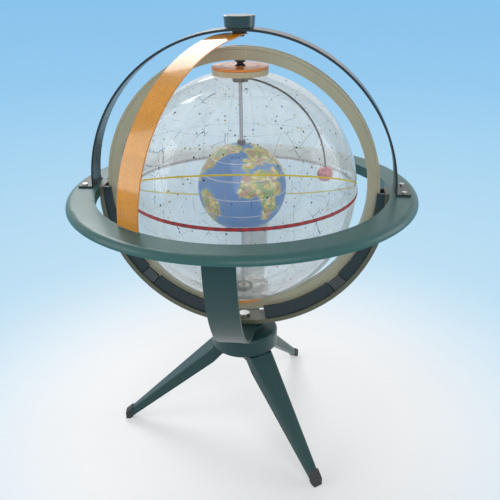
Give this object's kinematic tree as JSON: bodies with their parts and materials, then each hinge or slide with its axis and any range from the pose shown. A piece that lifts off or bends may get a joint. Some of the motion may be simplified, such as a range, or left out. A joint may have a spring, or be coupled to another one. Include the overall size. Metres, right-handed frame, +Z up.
{
  "type": "celestial globe",
  "caption": "Transparent celestial globe with the Earth and Sun inside, turning in a meridian ring that slides in a horizon stand on a tripod.",
  "frame": {"origin": "on the floor under the upright axis through the hub and the centre of the globe", "axes": "+Z up; the zenith arch, the guide channel and the meridian ring lie in the XZ plane; the yoke lies in the YZ plane and the pictured side faces -Y"},
  "size_m": [0.4629, 0.463, 0.5918],
  "materials": {
    "ring_paint": "satin enamel",
    "stand_paint": "satin enamel",
    "slate_paint": "satin enamel",
    "olive_paint": "satin enamel",
    "cream_plastic": "moulded, slightly glossy",
    "orange_plastic": "gloss",
    "beige_plastic": "moulded",
    "green_plastic": "gloss",
    "black_plastic": "gloss",
    "clear_plastic": "clear, printed star map",
    "amber_plastic": "translucent amber",
    "red_tape": "printed",
    "steel": "bare",
    "black_steel": "black",
    "sun_red": "gloss",
    "earth_print": "printed map",
    "rubber": "matt"
  },
  "bodies": {
    "base": {"leg_1": "stand_paint", "leg_2": "stand_paint", "leg_3": "stand_paint", "foot_tip_1": "rubber", "foot_tip_2": "rubber", "foot_tip_3": "rubber", "hub_drum": "stand_paint", "leg_screws": "steel", "swivel_washer": "black_plastic"},
    "stand": {"yoke_saddle": "stand_paint", "nadir_spacer": "steel", "pivot_bolt": "steel", "nut_washer": "steel", "pivot_nut": "steel", "yoke": "stand_paint", "yoke_screws": "steel", "horizon_ring": "ring_paint", "channel_floor": "olive_paint", "channel_screws": "steel", "front_rails": "slate_paint", "back_rails": "slate_paint", "support_block_left": "black_plastic", "support_block_right": "black_plastic", "block_screws": "steel", "zenith_arch": "slate_paint", "arch_screws": "steel", "zenith_screw": "black_steel", "zenith_washer": "black_plastic"},
    "quadrant": {"altitude_quadrant": "amber_plastic"},
    "zenith_clamp": {"zenith_knob": "green_plastic"},
    "meridian": {"meridian_ring_left": "cream_plastic", "meridian_ring_right": "cream_plastic", "north_bush": "black_plastic", "south_bush": "black_plastic"},
    "sphere": {"north_hemisphere": "clear_plastic", "south_hemisphere": "clear_plastic", "equator_band": "red_tape", "north_collar": "beige_plastic", "south_collar": "beige_plastic", "north_inner_nut": "black_plastic", "south_inner_nut": "black_plastic"},
    "north_dial": {"north_hour_dial": "orange_plastic"},
    "south_dial": {"south_hour_dial": "orange_plastic"},
    "sun": {"north_knob": "black_plastic", "sun_sleeve": "steel", "sun_hub": "black_plastic", "sun_arm": "black_steel", "sun_ball": "sun_red"},
    "earth": {"axis_rod": "steel", "north_earth_half": "earth_print", "south_earth_half": "earth_print", "earth_collars": "black_plastic", "south_knob": "black_plastic"}
  },
  "joints": [
    {"name": "stand_swivel", "type": "hinge", "parent": "base", "child": "stand", "pos_m": [0, 0, 0.165], "axis": [0, 0, 1], "continuous": true},
    {"name": "latitude", "type": "hinge", "parent": "stand", "child": "meridian", "pos_m": [0, 0, 0.374], "axis": [0, 1, 0], "range_deg": [-90, 90]},
    {"name": "globe_spin", "type": "hinge", "parent": "meridian", "child": "sphere", "pos_m": [0, 0, 0.374], "axis": [0, 0, 1], "continuous": true},
    {"name": "north_dial_turn", "type": "hinge", "parent": "meridian", "child": "north_dial", "pos_m": [0, 0, 0.374], "axis": [0, 0, 1], "continuous": true},
    {"name": "south_dial_turn", "type": "hinge", "parent": "meridian", "child": "south_dial", "pos_m": [0, 0, 0.374], "axis": [0, 0, 1], "continuous": true},
    {"name": "sun_turn", "type": "hinge", "parent": "meridian", "child": "sun", "pos_m": [0, 0, 0.374], "axis": [0, 0, 1], "continuous": true},
    {"name": "earth_turn", "type": "hinge", "parent": "meridian", "child": "earth", "pos_m": [0, 0, 0.374], "axis": [0, 0, 1], "continuous": true},
    {"name": "azimuth", "type": "hinge", "parent": "stand", "child": "quadrant", "pos_m": [0, 0, 0.374], "axis": [0, 0, 1], "continuous": true},
    {"name": "zenith_clamp_turn", "type": "hinge", "parent": "stand", "child": "zenith_clamp", "pos_m": [0, 0, 0.574], "axis": [0, 0, 1], "range_deg": [-180, 180]}
  ]
}
